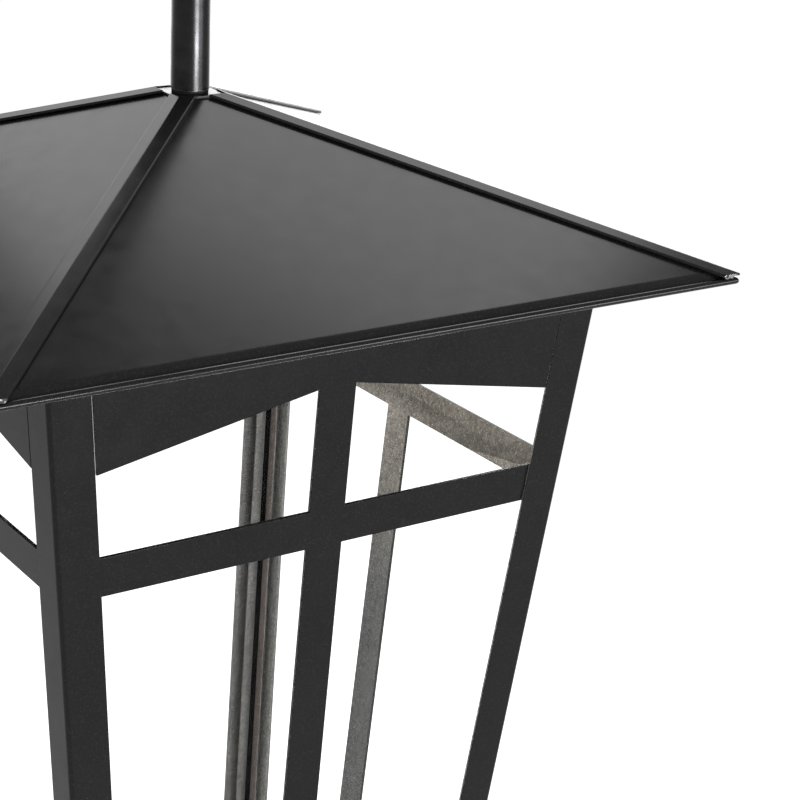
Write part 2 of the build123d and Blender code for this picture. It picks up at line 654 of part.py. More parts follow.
# Glazing channels: folded strips nested in the posts that hold the panes' side edges
foot_in = post_t + CHANNEL_T
leg_out = level_depth(GLASS_DEPTH + GLASS_T + GLASS_PLAY)
leg_in = leg_out + CHANNEL_T
leg_end = CHANNEL_WEB + CHANNEL_LEG
channel_top = HEAD_LEG_BOTTOM - CHANNEL_BELOW_HEAD
for corner, corner_angle in CORNERS.items():
    with BuildPart() as glazing_channel:
        with BuildSketch(corner_plane(channel_top, corner_angle)):
            with BuildLine():
                Polyline(
                    (post_t, post_t),
                    (WEB_IN, post_t),
                    (WEB_IN, leg_out),
                    (leg_end, leg_out),
                    (leg_end, leg_in),
                    (CHANNEL_WEB, leg_in),
                    (CHANNEL_WEB, foot_in),
                    (foot_in, foot_in),
                    (foot_in, CHANNEL_WEB),
                    (leg_in, CHANNEL_WEB),
                    (leg_in, leg_end),
                    (leg_out, leg_end),
                    (leg_out, WEB_IN),
                    (post_t, WEB_IN),
                    close=True,
                )
            make_face()
        extrude_down_corner(channel_top - ledge_top, corner_angle)
    finish_part(glazing_channel, f"glazing_channel_{corner}")

# Each face: a chevron band flush between the posts, a window cross behind it and a pane
for side, side_angle in SIDES.items():
    with BuildPart() as chevron_band:
        with BuildSketch(face_plane(side_angle)):
            with BuildLine():
                Polyline(
                    face_point(BODY_TOP, POST_FLANGE + SEAM, -1),
                    face_point(CHEVRON_SIDE, POST_FLANGE + SEAM, -1),
                    (0, up_slope(CHEVRON_PEAK)),
                    face_point(CHEVRON_SIDE, POST_FLANGE + SEAM, 1),
                    face_point(BODY_TOP, POST_FLANGE + SEAM, 1),
                    close=True,
                )
            make_face()
        extrude(amount=-SKIN_T)
    finish_part(chevron_band, f"chevron_band_{side}")

    with BuildPart() as window_cross:
        mullion_low = up_slope(ledge_top, SKIN_T)
        mullion_high = up_slope(CHEVRON_PEAK + MULLION_BEHIND_BAND, SKIN_T)
        with BuildSketch(face_plane(side_angle, SKIN_T)):
            add_face_panel(BAR_TOP - BAR_WIDTH, BAR_TOP, WEB_IN + BAR_END_GAP, SKIN_T)
            with Locations((0, mullion_low)):
                Rectangle(BAR_WIDTH, mullion_high - mullion_low, align=(Align.CENTER, Align.MIN))
        extrude(amount=-BAR_T)
    finish_part(window_cross, f"window_cross_{side}")

    with BuildPart() as glass_pane:
        with BuildSketch(face_plane(side_angle, GLASS_DEPTH)):
            add_face_panel(ledge_top, BODY_TOP - GLASS_BELOW_TOP, WEB_IN + GLASS_EDGE_GAP, GLASS_DEPTH)
        extrude(amount=-GLASS_T)
    finish_part(glass_pane, f"glass_pane_{side}")

# Base frame: a ring under the posts with an upstand between them on every face, open below
base_outer = half_width(BODY_BOTTOM)
with BuildPart() as base_frame:
    with BuildSketch(level(BODY_BOTTOM)):
        Rectangle(2 * base_outer, 2 * base_outer)
        Rectangle(2 * (base_outer - BASE_LEDGE), 2 * (base_outer - BASE_LEDGE), mode=Mode.SUBTRACT)
    extrude(amount=BASE_LEDGE_T)
    for side_angle in SIDES.values():
        with BuildSketch(face_plane(side_angle)):
            add_face_panel(BODY_BOTTOM, ledge_top + BASE_UPSTAND_H, POST_FLANGE + SEAM)
        extrude(amount=-SKIN_T)
finish_part(base_frame, "base_frame")

# Hanger strap: a bar bent down inside the roof to the head frame's ledge
foot_top = BODY_TOP - HEAD_LEDGE_T
hanger_flat = Vector(HANGER_FLAT_HALF, HANGER_TOP)
hanger_knee = Vector(hanger_end - HANGER_FOOT, foot_top)
hanger_arm = (hanger_knee - hanger_flat).normalized()
hanger_down = Vector(hanger_arm.Y, -hanger_arm.X)
arm_under = hanger_flat + hanger_down * HANGER_T
flat_under = meet(Vector(0, HANGER_TOP - HANGER_T), level_way, arm_under, hanger_arm)
knee_under = meet(Vector(0, foot_top - HANGER_T), level_way, arm_under, hanger_arm)
with BuildPart() as hanger_strap:
    with BuildSketch(Plane.XZ.shift_origin((0, 0, EAVE_Z))) as strap_section:
        with BuildLine():
            Polyline(
                (0, HANGER_TOP),
                hanger_flat,
                hanger_knee,
                (hanger_end, foot_top),
                (hanger_end, foot_top - HANGER_T),
                knee_under,
                flat_under,
                (0, HANGER_TOP - HANGER_T),
                close=True,
            )
        make_face()
        for outer_bend in (hanger_flat, knee_under):
            fillet(strap_section.vertices().sort_by_distance(outer_bend)[0], HANGER_BEND_R + HANGER_T)
        for inner_bend in (hanger_knee, flat_under):
            fillet(strap_section.vertices().sort_by_distance(inner_bend)[0], HANGER_BEND_R)
        mirror(about=Plane.YZ)
    extrude(amount=HANGER_WIDTH / 2, both=True)
    drill(THREAD_R + CLEARANCE, EAVE_Z + WASHER_TOP, EAVE_Z + HANGER_TOP)
    with BuildSketch(level(foot_top)):
        with GridLocations(2 * hanger_screw_at, 0, 2, 1):
            Circle(HANGER_SCREW_R + CLEARANCE)
    extrude(amount=-HANGER_T, mode=Mode.SUBTRACT)
finish_part(hanger_strap, "hanger_strap")

with BuildPart() as strap_screws:
    with BuildSketch(level(foot_top - HANGER_T)):
        with GridLocations(2 * hanger_screw_at, 0, 2, 1):
            Circle(HANGER_SCREW_HEAD_R)
    extrude(amount=-HANGER_SCREW_HEAD_H)
    chamfer(strap_screws.faces().sort_by(Axis.Z)[:2].edges(), HANGER_SCREW_HEAD_EDGE)
    with BuildSketch(level(foot_top - HANGER_T)):
        with GridLocations(2 * hanger_screw_at, 0, 2, 1):
            Circle(HANGER_SCREW_R)
    extrude(amount=HANGER_T + HEAD_LEDGE_T + HANGER_SCREW_STANDS_OUT)
finish_part(strap_screws, "strap_screws")

nut_top_z = EAVE_Z + NUT_TOP
with BuildPart() as lock_washer:
    add_ring(WASHER_R, THREAD_R, nut_top_z, EAVE_Z + WASHER_TOP)
finish_part(lock_washer, "lock_washer")

with BuildPart() as nipple_nut:
    add_hexagon(NIPPLE_NUT_ACROSS_FLATS, THREAD_R, nut_top_z - NIPPLE_NUT_H, nut_top_z)
finish_part(nipple_nut, "nipple_nut")

# Lampholder: a spun metal cap screwed on the nipple, a ceramic body, a screw shell and a contact
holder_top_z = EAVE_Z + HOLDER_TOP
collar_top_z = EAVE_Z + COLLAR_TOP
holder_bottom_z = EAVE_Z + HOLDER_BOTTOM
cavity_top_z = EAVE_Z + CAVITY_TOP
shell_outer_r = SHELL_R + SHELL_T
with BuildPart() as lampholder_cap:
    revolve_profile(
        (THREAD_R, collar_top_z),
        (HOLDER_COLLAR_R, collar_top_z),
        (HOLDER_COLLAR_R, holder_top_z + HOLDER_CAP_WALL),
        (HOLDER_R + HOLDER_CAP_WALL, holder_top_z + HOLDER_CAP_WALL),
        (HOLDER_R + HOLDER_CAP_WALL, holder_top_z - HOLDER_CAP_SKIRT),
        (HOLDER_R, holder_top_z - HOLDER_CAP_SKIRT),
        (HOLDER_R, holder_top_z),
        (THREAD_R, holder_top_z),
    )
finish_part(lampholder_cap, "lampholder_cap")

with BuildPart() as lampholder_body:
    add_ring(HOLDER_R, 0, holder_bottom_z, holder_top_z)
    drill(shell_outer_r, holder_bottom_z, cavity_top_z)
    chamfer(lampholder_body.faces().sort_by(Axis.Z)[0].edges(), HOLDER_BOTTOM_EDGE)
    with BuildSketch(level(CAVITY_TOP)):
        with GridLocations(2 * HOLDER_WIRE_HOLE_AT, 0, 2, 1):
            Circle(HOLDER_WIRE_HOLE_R)
    extrude(amount=HOLDER_TOP - CAVITY_TOP, mode=Mode.SUBTRACT)
finish_part(lampholder_body, "lampholder_body")

shell_bottom_z = holder_bottom_z + SHELL_ABOVE_HOLDER_BOTTOM
with BuildPart() as screw_shell:
    revolve_profile(
        (shell_outer_r, shell_bottom_z),
        (shell_outer_r, cavity_top_z),
        (SHELL_FLANGE_R, cavity_top_z),
        (SHELL_FLANGE_R, cavity_top_z - SHELL_T),
        (SHELL_R, cavity_top_z - SHELL_T),
        (SHELL_R, shell_bottom_z),
    )
finish_part(screw_shell, "screw_shell")

contact_bottom_z = cavity_top_z - CONTACT_T
with BuildPart() as center_contact:
    add_ring(CONTACT_R, 0, contact_bottom_z, cavity_top_z)
finish_part(center_contact, "center_contact")

# Bulb: a metal screw base with a contact tip and a hollow frosted glass envelope
base_bottom_z = contact_bottom_z - BULB_BASE_LENGTH
base_r = SHELL_R - RUNNING_GAP
neck_r = base_r - BULB_NECK_WALL
with BuildPart() as bulb_base:
    revolve_profile(
        (0, contact_bottom_z),
        (BULB_TIP_R, contact_bottom_z),
        (BULB_TIP_R, contact_bottom_z - BULB_TIP_T),
        (base_r - BULB_SHOULDER_H, contact_bottom_z - BULB_TIP_T - BULB_TIP_T),
        (base_r, contact_bottom_z - BULB_TIP_T - BULB_TIP_T - BULB_SHOULDER_H),
        (base_r, base_bottom_z),
        (neck_r, base_bottom_z),
        (neck_r, base_bottom_z + BULB_NECK_DEPTH),
        (0, base_bottom_z + BULB_NECK_DEPTH),
    )
finish_part(bulb_base, "bulb_base")

globe_z = contact_bottom_z - BULB_LENGTH + BULB_R
globe_bottom_z = globe_z - BULB_R
globe_inner_r = BULB_R - BULB_GLASS_WALL
neck_top_z = base_bottom_z + BULB_NECK_DEPTH
neck_bottom_z = base_bottom_z - BULB_NECK_LENGTH
join_angle = math.radians(BULB_JOIN_ANGLE)
join_way = Vector(math.cos(join_angle), math.sin(join_angle))
join_down = Vector(join_way.Y, -join_way.X)
globe_join = Vector(0, globe_z) + join_way * BULB_R
globe_inner_join = Vector(0, globe_z) + join_way * globe_inner_r
neck_inner_r = neck_r - BULB_GLASS_WALL
with BuildPart() as bulb_glass:
    with BuildSketch(Plane.XZ):
        with BuildLine():
            Line((neck_r, neck_top_z), (neck_r, neck_bottom_z))
            Spline((neck_r, neck_bottom_z), globe_join, tangents=((0, -1), join_down))
            TangentArc(globe_join, (0, globe_bottom_z), tangent=join_down)
            Line((0, globe_bottom_z), (0, globe_bottom_z + BULB_GLASS_WALL))
            TangentArc((0, globe_bottom_z + BULB_GLASS_WALL), globe_inner_join, tangent=(1, 0))
            Spline(globe_inner_join, (neck_inner_r, neck_bottom_z), tangents=(-join_down, (0, 1)))
            Polyline((neck_inner_r, neck_bottom_z), (neck_inner_r, neck_top_z), (neck_r, neck_top_z))
        make_face()
    revolve(axis=Axis.Z)
finish_part(bulb_glass, "bulb_glass")
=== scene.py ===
"""Pendant lantern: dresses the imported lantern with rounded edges, finishes, light and a camera."""

import json
import math

import bpy
from mathutils import Matrix, Vector

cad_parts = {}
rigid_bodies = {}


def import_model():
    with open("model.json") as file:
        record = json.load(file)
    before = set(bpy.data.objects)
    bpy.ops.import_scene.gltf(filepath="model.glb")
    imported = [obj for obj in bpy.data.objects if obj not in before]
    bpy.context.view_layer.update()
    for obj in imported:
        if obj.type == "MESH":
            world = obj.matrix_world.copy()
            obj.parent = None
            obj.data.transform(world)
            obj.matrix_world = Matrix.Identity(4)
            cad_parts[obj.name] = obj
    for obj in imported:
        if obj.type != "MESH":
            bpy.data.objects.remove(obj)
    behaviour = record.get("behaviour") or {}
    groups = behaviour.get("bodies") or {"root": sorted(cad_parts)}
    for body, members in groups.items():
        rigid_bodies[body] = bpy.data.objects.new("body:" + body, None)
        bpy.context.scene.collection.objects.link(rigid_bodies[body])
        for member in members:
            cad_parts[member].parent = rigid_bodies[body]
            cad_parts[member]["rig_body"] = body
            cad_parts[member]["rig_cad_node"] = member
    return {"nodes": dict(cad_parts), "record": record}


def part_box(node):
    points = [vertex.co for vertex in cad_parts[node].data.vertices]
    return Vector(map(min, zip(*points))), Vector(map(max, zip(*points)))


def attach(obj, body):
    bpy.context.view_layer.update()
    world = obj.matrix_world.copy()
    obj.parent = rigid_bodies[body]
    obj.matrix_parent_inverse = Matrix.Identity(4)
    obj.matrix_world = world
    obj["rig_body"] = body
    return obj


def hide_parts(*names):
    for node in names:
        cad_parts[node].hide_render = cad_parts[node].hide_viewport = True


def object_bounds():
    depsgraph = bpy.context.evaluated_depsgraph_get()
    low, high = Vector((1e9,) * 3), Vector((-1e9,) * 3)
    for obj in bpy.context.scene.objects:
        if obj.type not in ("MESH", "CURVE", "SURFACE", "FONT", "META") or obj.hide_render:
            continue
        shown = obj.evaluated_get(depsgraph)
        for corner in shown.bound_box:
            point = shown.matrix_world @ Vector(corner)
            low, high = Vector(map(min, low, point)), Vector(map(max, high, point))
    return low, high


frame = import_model()
CAD_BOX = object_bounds()
BODY_OF = {
    node: body
    for body, nodes in frame["record"]["behaviour"]["bodies"].items()
    for node in nodes
}
SIDES = ("front", "right", "back", "left")
CORNERS = ("front_left", "front_right", "back_right", "back_left")

# The body's side faces: their half width at the eave, and what it gains for each metre upwards.
EAVE_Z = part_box("roof_panel_front")[0].z
EAVE_OVERHANG = 0.0486
BODY_HALF_AT_EAVE = CAD_BOX[1].x - EAVE_OVERHANG
BODY_TAPER = 0.0878

# Depths inside those faces that tell the faces of a glazing channel apart.
CHANNEL_ROOT = 0.0105
GROOVE_WALLS_END = CHANNEL_ROOT - 0.001
GROOVE_FLOOR = 0.007
ROUNDINGS_START = CHANNEL_ROOT + 0.002

# A face of the inside points to the stem's axis with at least this part of its normal.
INWARD_PART = 0.7
# How much of a hip cap's lower end, along x or y, shows the cut sheet with its painted glints.
CUT_END_DEPTH = 0.0002
# Depths below the eave where the thin coat is wholly the lower and wholly the upper colour.
LOWER_COAT_DEPTH = 0.24
UPPER_COAT_DEPTH = 0.11

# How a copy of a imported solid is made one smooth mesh.
MERGE_DISTANCE = 0.000002
FLAT_ANGLE = math.radians(0.3)
ROUNDED_ANGLE = math.radians(32.0)
SMOOTH_ANGLE = math.radians(40.0)

# Studio: a floor below the lantern, where it starts to glow behind the stem and where it glows
# fully, and how strongly the floor and the surround show.
FLOOR_SIZE = 40.0
FLOOR_DROP = 0.75
FLOOR_Z = CAD_BOX[0].z - FLOOR_DROP
BACK_GLOW_STARTS = 4.5
BACK_GLOW_FULL = 7.5
FLOOR_GLOW_ADDED_IN_GLASS = 0.25
SURROUND_TO_THE_EYE = 1.05
SURROUND_IN_GLASS = 1.3
WHITE = (1.0, 1.0, 1.0, 1.0)

bl_info = {
    "name": "Pendant lantern",
    "version": (1, 0, 0),
    "blender": (4, 5, 0),
    "location": "3D View > Sidebar > Lantern",
    "description": "Builds the looks of a square stem-hung lantern on its packed solids",
    "category": "Object",
}


# Settings: the colours and sizes that the panel shows.
def colour(name, description, default):
    return bpy.props.FloatVectorProperty(
        name=name,
        description=description,
        default=default,
        subtype="COLOR",
        size=3,
        min=0.0,
        max=1.0,
    )


def rounding(name, description, default):
    return bpy.props.FloatProperty(
        name=name, description=description, default=default, unit="LENGTH", min=0.0, max=0.002
    )


def strength(name, description, default):
    return bpy.props.FloatProperty(name=name, description=description, default=default, min=0.0)


def degrees(name, description, default):
    return bpy.props.FloatProperty(
        name=name, description=f"{description}, in degrees", default=default
    )


class PaintSettings(bpy.types.PropertyGroup):
    black: colour("Black", "Colour of the satin black coat", (0.012, 0.012, 0.0128))
    dust: colour("Dust", "Colour of the fine light specks in the coat", (0.07, 0.068, 0.066))
    inside: colour(
        "Inside", "Colour of the thin coat on the inside of the posts", (0.11, 0.106, 0.099)
    )
    # A paler copy of the inside coat for inner faces that look sideways: painted light.
    side_inside_painted_light: colour(
        "Side inside", "Colour of the same coat where it faces sideways", (0.34, 0.33, 0.31)
    )
    overspray: colour(
        "Overspray", "Colour of the thin coat inside the bars, under the roof", (0.62, 0.54, 0.45)
    )
    low_overspray: colour(
        "Low overspray", "Colour of the same coat lower down", (0.17, 0.168, 0.164)
    )
    # The channels' sideways faces: a brownish tone, kept darker than the posts' sideways coat as
    # painted shade of the pockets.
    groove: colour("Groove", "Colour of the brownish coat in the channels", (0.15, 0.115, 0.1))
    roughness: bpy.props.FloatProperty(
        name="Roughness",
        description="Mean roughness of the roof's coat",
        default=0.2,
        min=0.0,
        max=1.0,
    )
    speck_size: bpy.props.FloatProperty(
        name="Speck size",
        description="Spacing of the specks",
        default=0.0011,
        unit="LENGTH",
        min=0.0002,
        max=0.01,
    )


class MetalSettings(bpy.types.PropertyGroup):
    stem: colour("Stem", "Colour of the polished dark stem", (0.078, 0.078, 0.081))
    zinc: colour("Zinc", "Colour of the plated steel hardware", (0.62, 0.61, 0.58))
    brass: colour("Brass", "Colour of the lampholder's brass", (0.72, 0.53, 0.26))
    bulb_shell: colour("Bulb shell", "Colour of the bulb's screw base", (0.74, 0.74, 0.73))
    ground: colour("Ground screw", "Colour of the ground screw", (0.04, 0.26, 0.08))
    bare: colour("Bare steel", "Colour of cut edges", (0.56, 0.55, 0.53))
    # Pale metal on the hip caps' roundings: a painted highlight along their edges.
    edge_highlight_tint: colour("Rubbed edge", "Colour of the edges where the coat is thin", (0.3, 0.3, 0.3))


class GlassSettings(bpy.types.PropertyGroup):
    pane: colour("Pane", "Tint of the flat panes", (0.985, 0.99, 0.985))
    frost: colour("Frost", "Colour of the frosted bulb", (0.93, 0.92, 0.88))
    porcelain: colour("Porcelain", "Colour of the lampholder's body", (0.84, 0.83, 0.79))


class EdgeSettings(bpy.types.PropertyGroup):
    sheet: rounding("Sheet edge", "Rounding of cut sheet edges", 0.0003)
    turned: rounding("Turned edge", "Rounding of turned parts", 0.0004)
    pane: rounding("Pane edge", "Rounding of the panes' edges", 0.0002)


class StudioSettings(bpy.types.PropertyGroup):
    floor: colour("Floor", "Colour of the studio floor", (0.86, 0.86, 0.86))
    floor_glow: strength(
        "Floor glow", "Light added to the floor where it is the background", 0.65
    )
    front_glow: strength(
        "Front glow", "Glow of the floor in front, as the finishes mirror it", 0.0
    )
    back_glow: strength("Back glow", "Glow of the far floor, as the finishes mirror it", 2.2)
    back_turn: degrees(
        "Back turn", "Turn from the back to the right of the bright far floor", 25.0
    )
    sky: strength("Sky", "Strength of the even light", 0.42)
    mirrored_sky: strength("Mirrored sky", "Strength of the surround in the finishes", 0.22)
    lens: bpy.props.FloatProperty(
        name="Lens",
        description="Focal length of the camera",
        default=94.52,
        unit="CAMERA",
        min=20.0,
        max=300.0,
    )
    azimuth: degrees("Azimuth", "Turn of the camera about the stem", -35.0057)
    elevation: degrees("Elevation", "Height of the camera's look", 20.2986)
    roll: degrees("Roll", "Tilt of the picture", 2.7995)
    eye: bpy.props.FloatVectorProperty(
        name="Eye",
        description="Place of the camera from the stem's axis at the eave",
        default=(-0.515955, -0.937962, 0.304323),
        unit="LENGTH",
        size=3,
    )


SETTINGS = {
    "lantern_paint": PaintSettings,
    "lantern_metal": MetalSettings,
    "lantern_glass": GlassSettings,
    "lantern_edges": EdgeSettings,
    "lantern_studio": StudioSettings,
}


# Steps of a material. What makes a value gives the socket that holds it.
def start_material(name):
    material = bpy.data.materials.new(name)
    material.use_nodes = True
    return material.node_tree, material.node_tree.nodes["Principled BSDF"]


def object_coordinates(tree, scale=(1.0, 1.0, 1.0)):
    """Object coordinates, where a small scale draws a pattern out along its axis."""
    coordinates = tree.nodes.new("ShaderNodeTexCoord")
    mapping = tree.nodes.new("ShaderNodeMapping")
    mapping.inputs["Scale"].default_value = scale
    tree.links.new(coordinates.outputs["Object"], mapping.inputs["Vector"])
    return mapping.outputs["Vector"]


def noise(tree, vector, scale, detail=2.0, roughness=0.5):
    """Noise whose scale is its number of lumps to the metre."""
    texture = tree.nodes.new("ShaderNodeTexNoise")
    texture.inputs["Scale"].default_value = scale
    texture.inputs["Detail"].default_value = detail
    texture.inputs["Roughness"].default_value = roughness
    tree.links.new(vector, texture.inputs["Vector"])
    return texture.outputs["Fac"]


def ramp(tree, value, between, to=(0.0, 1.0)):
    """Turns what lies between two numbers into what lies between two others, and holds the ends."""
    stretch = tree.nodes.new("ShaderNodeMapRange")
    stretch.inputs["From Min"].default_value = between[0]
    stretch.inputs["From Max"].default_value = between[1]
    stretch.inputs["To Min"].default_value = to[0]
    stretch.inputs["To Max"].default_value = to[1]
    tree.links.new(value, stretch.inputs["Value"])
    return stretch.outputs["Result"]


def mix(tree, kind, places, factor, first, second):
    """Goes from the first value to the second, each a socket or a constant, with the factor."""
    node = tree.nodes.new("ShaderNodeMix")
    node.data_type = kind
    first_place, second_place, result = places
    for place, value in ((first_place, first), (second_place, second)):
        if hasattr(value, "is_output"):
            tree.links.new(value, node.inputs[place])
        else:
            node.inputs[place].default_value = value
    tree.links.new(factor, node.inputs[0])
    return node.outputs[result]


def choose(tree, factor, otherwise, chosen):
    """A number that goes from the first value to the second as the factor goes from 0 to 1."""
    return mix(tree, "FLOAT", (2, 3, 0), factor, otherwise, chosen)


def blend_colours(tree, factor, first, second):
    """A colour that goes from the first to the second as the factor goes from 0 to 1."""
    first, second = (c if hasattr(c, "is_output") else (*c, 1.0) for c in (first, second))
    return mix(tree, "RGBA", (6, 7, 2), factor, first, second)


def shaded(tint, share):
    """A colour made darker by a share under 1, or paler by a share over it."""
    return [channel * share for channel in tint]


def bump(tree, shader, *heights):
    """Chains (height socket, distance in metres, strength) bumps into the shader's normal."""
    normal = None
    for height, distance, power in heights:
        node = tree.nodes.new("ShaderNodeBump")
        node.inputs["Distance"].default_value = distance
        node.inputs["Strength"].default_value = power
        tree.links.new(height, node.inputs["Height"])
        if normal is not None:
            tree.links.new(normal, node.inputs["Normal"])
        normal = node.outputs["Normal"]
    tree.links.new(normal, shader.inputs["Normal"])


# Finishes.
def satin_black(name, paint, specks, share, gloss=0.5, rougher=0.0):
    """Satin black coat: fine specks, slow changes of gloss and an even orange peel."""
    tree, shader = start_material(name)
    place = object_coordinates(tree)
    broad = noise(tree, place, 14.0)
    mottle = noise(tree, place, 90.0, detail=1.0)
    fine = noise(tree, place, 1.0 / paint.speck_size, detail=1.0)
    grain = noise(tree, place, 0.6 / paint.speck_size, detail=1.0)
    speck = ramp(tree, fine, (0.5, 0.8), to=(0.0, specks))
    black = shaded(paint.black, share)
    base = blend_colours(tree, ramp(tree, broad, (0.3, 0.7)), black, shaded(black, 1.35))
    dusty = blend_colours(tree, speck, base, paint.dust[:])
    tree.links.new(dusty, shader.inputs["Base Color"])
    middle = paint.roughness + rougher
    rough = ramp(tree, mottle, (0.2, 0.8), to=(middle - 0.03, middle + 0.03))
    tree.links.new(rough, shader.inputs["Roughness"])
    shader.inputs["Specular IOR Level"].default_value = gloss
    bump(tree, shader, (grain, 0.00004, 0.08))


def thin_coat(name, paint, high, low, gloss):
    """Thin speckled coat on plated sheet, of one colour under the roof and another lower down."""
    tree, shader = start_material(name)
    place = object_coordinates(tree)
    axes = tree.nodes.new("ShaderNodeSeparateXYZ")
    tree.links.new(place, axes.inputs[0])
    coat_heights = (EAVE_Z - LOWER_COAT_DEPTH, EAVE_Z - UPPER_COAT_DEPTH)
    height = ramp(tree, axes.outputs["Z"], coat_heights)

    def coat(share):
        return blend_colours(tree, height, shaded(low, share), shaded(high, share))

    grain = noise(tree, place, 0.9 / paint.speck_size, roughness=0.6)
    blotch = noise(tree, place, 0.35 / paint.speck_size, roughness=0.6)
    patches = noise(tree, place, 45.0, detail=4.0, roughness=0.6)
    streaks = noise(tree, object_coordinates(tree, (1.0, 1.0, 0.04)), 420.0, detail=3.0)
    tone = coat(1.15)
    for pattern, between, most, share in (
        (patches, (0.35, 0.7), 0.6, 0.6),
        (streaks, (0.45, 0.75), 0.4, 0.35),
        (blotch, (0.42, 0.66), 0.8, 0.35),
        (grain, (0.54, 0.7), 0.8, 2.4),
    ):
        tone = blend_colours(tree, ramp(tree, pattern, between, to=(0.0, most)), tone, coat(share))
    tree.links.new(tone, shader.inputs["Base Color"])
    rough = ramp(tree, patches, (0.3, 0.7), to=(0.37, 0.55))
    tree.links.new(rough, shader.inputs["Roughness"])
    shader.inputs["Specular IOR Level"].default_value = gloss
    bump(tree, shader, (blotch, 0.0001, 0.2), (grain, 0.00006, 0.2))


def painted_cut_end_glints(name, paint, steel):
    """Cut sheet ends: bare steel in patches between runs of the black coat, set to give small white
    glints as painted highlights.
    """
    tree, shader = start_material(name)
    place = object_coordinates(tree)
    patches = noise(tree, place, 260.0)
    fine = noise(tree, place, 1500.0)
    bare = ramp(tree, patches, (0.5, 0.56))
    shade = blend_colours(tree, bare, paint.black[:], steel)
    tree.links.new(shade, shader.inputs["Base Color"])
    tree.links.new(bare, shader.inputs["Metallic"])
    rough = ramp(tree, patches, (0.4, 0.6), to=(0.4, 0.25))
    tree.links.new(rough, shader.inputs["Roughness"])
    bump(tree, shader, (fine, 0.00004, 0.2))


def plated_metal(name, tint, roughness=0.3, streaks=0.05, darker=0.75):
    """Plated or bare metal with fine drawing lines along Z and a little clouding."""
    tree, shader = start_material(name)
    place = object_coordinates(tree)
    along = object_coordinates(tree, (1.0, 1.0, 0.02))
    cloud = noise(tree, place, 60.0, detail=4.0, roughness=0.6)
    lines = noise(tree, along, 1100.0, detail=1.0)
    fine = noise(tree, place, 900.0)
    shade = blend_colours(tree, ramp(tree, cloud, (0.3, 0.7)), tint, shaded(tint, darker))
    tree.links.new(shade, shader.inputs["Base Color"])
    shader.inputs["Metallic"].default_value = 1.0
    rough = ramp(tree, cloud, (0.25, 0.75), to=(roughness - 0.06, roughness + 0.08))
    tree.links.new(rough, shader.inputs["Roughness"])
    bump(tree, shader, (fine, 0.00005, 0.1), (lines, 0.00004, streaks))


def clear_glass(name, tint):
    """Clear flat glass that hardly mirrors, with a faint waviness and a few dust specks."""
    tree, shader = start_material(name)
    place = object_coordinates(tree)
    wave = noise(tree, place, 7.0, detail=1.0)
    dust = noise(tree, place, 420.0, detail=3.0, roughness=0.7)
    shader.inputs["Base Color"].default_value = (*tint, 1.0)
    shader.inputs["Transmission Weight"].default_value = 1.0
    shader.inputs["IOR"].default_value = 1.12
    tree.links.new(ramp(tree, dust, (0.6, 0.9), to=(0.0, 0.08)), shader.inputs["Roughness"])
    bump(tree, shader, (wave, 0.0006, 0.08))


def frosted_glass(name, tint):
    """White frosted bulb glass with a soft glow inside its wall."""
    tree, shader = start_material(name)
    place = object_coordinates(tree)
    cloud = noise(tree, place, 90.0, detail=3.0)
    fine = noise(tree, place, 1400.0)
    shade = blend_colours(tree, cloud, tint, shaded(tint, 0.95))
    tree.links.new(shade, shader.inputs["Base Color"])
    shader.inputs["Subsurface Weight"].default_value = 0.3
    shader.inputs["Subsurface Radius"].default_value = (0.004, 0.004, 0.004)
    tree.links.new(ramp(tree, cloud, (0.3, 0.7), to=(0.42, 0.55)), shader.inputs["Roughness"])
    bump(tree, shader, (fine, 0.00003, 0.3))


def glazed_porcelain(name, tint):
    """White porcelain under a clear glaze."""
    tree, shader = start_material(name)
    place = object_coordinates(tree)
    cloud = noise(tree, place, 80.0, detail=3.0)
    shade = blend_colours(tree, ramp(tree, cloud, (0.35, 0.7)), tint, shaded(tint, 0.93))
    tree.links.new(shade, shader.inputs["Base Color"])
    tree.links.new(ramp(tree, cloud, (0.3, 0.7), to=(0.14, 0.24)), shader.inputs["Roughness"])
    shader.inputs["Coat Weight"].default_value = 0.4
    bump(tree, shader, (cloud, 0.0002, 0.15))


def rubber(name):
    """Dull black rubber."""
    tree, shader = start_material(name)
    place = object_coordinates(tree)
    fine = noise(tree, place, 1100.0, detail=3.0, roughness=0.7)
    shade = blend_colours(tree, fine, (0.012, 0.012, 0.012), (0.03, 0.03, 0.03))
    tree.links.new(shade, shader.inputs["Base Color"])
    tree.links.new(ramp(tree, fine, (0.3, 0.7), to=(0.6, 0.8)), shader.inputs["Roughness"])
    bump(tree, shader, (fine, 0.0001, 0.3))


def dyed_zinc(name, tint):
    """Zinc plate under a thin coloured dye."""
    tree, shader = start_material(name)
    place = object_coordinates(tree)
    cloud = noise(tree, place, 300.0, detail=3.0)
    shade = blend_colours(tree, cloud, tint, shaded(tint, 1.7))
    tree.links.new(shade, shader.inputs["Base Color"])
    shader.inputs["Metallic"].default_value = 0.6
    tree.links.new(ramp(tree, cloud, (0.3, 0.7), to=(0.28, 0.42)), shader.inputs["Roughness"])
    bump(tree, shader, (cloud, 0.0001, 0.2))


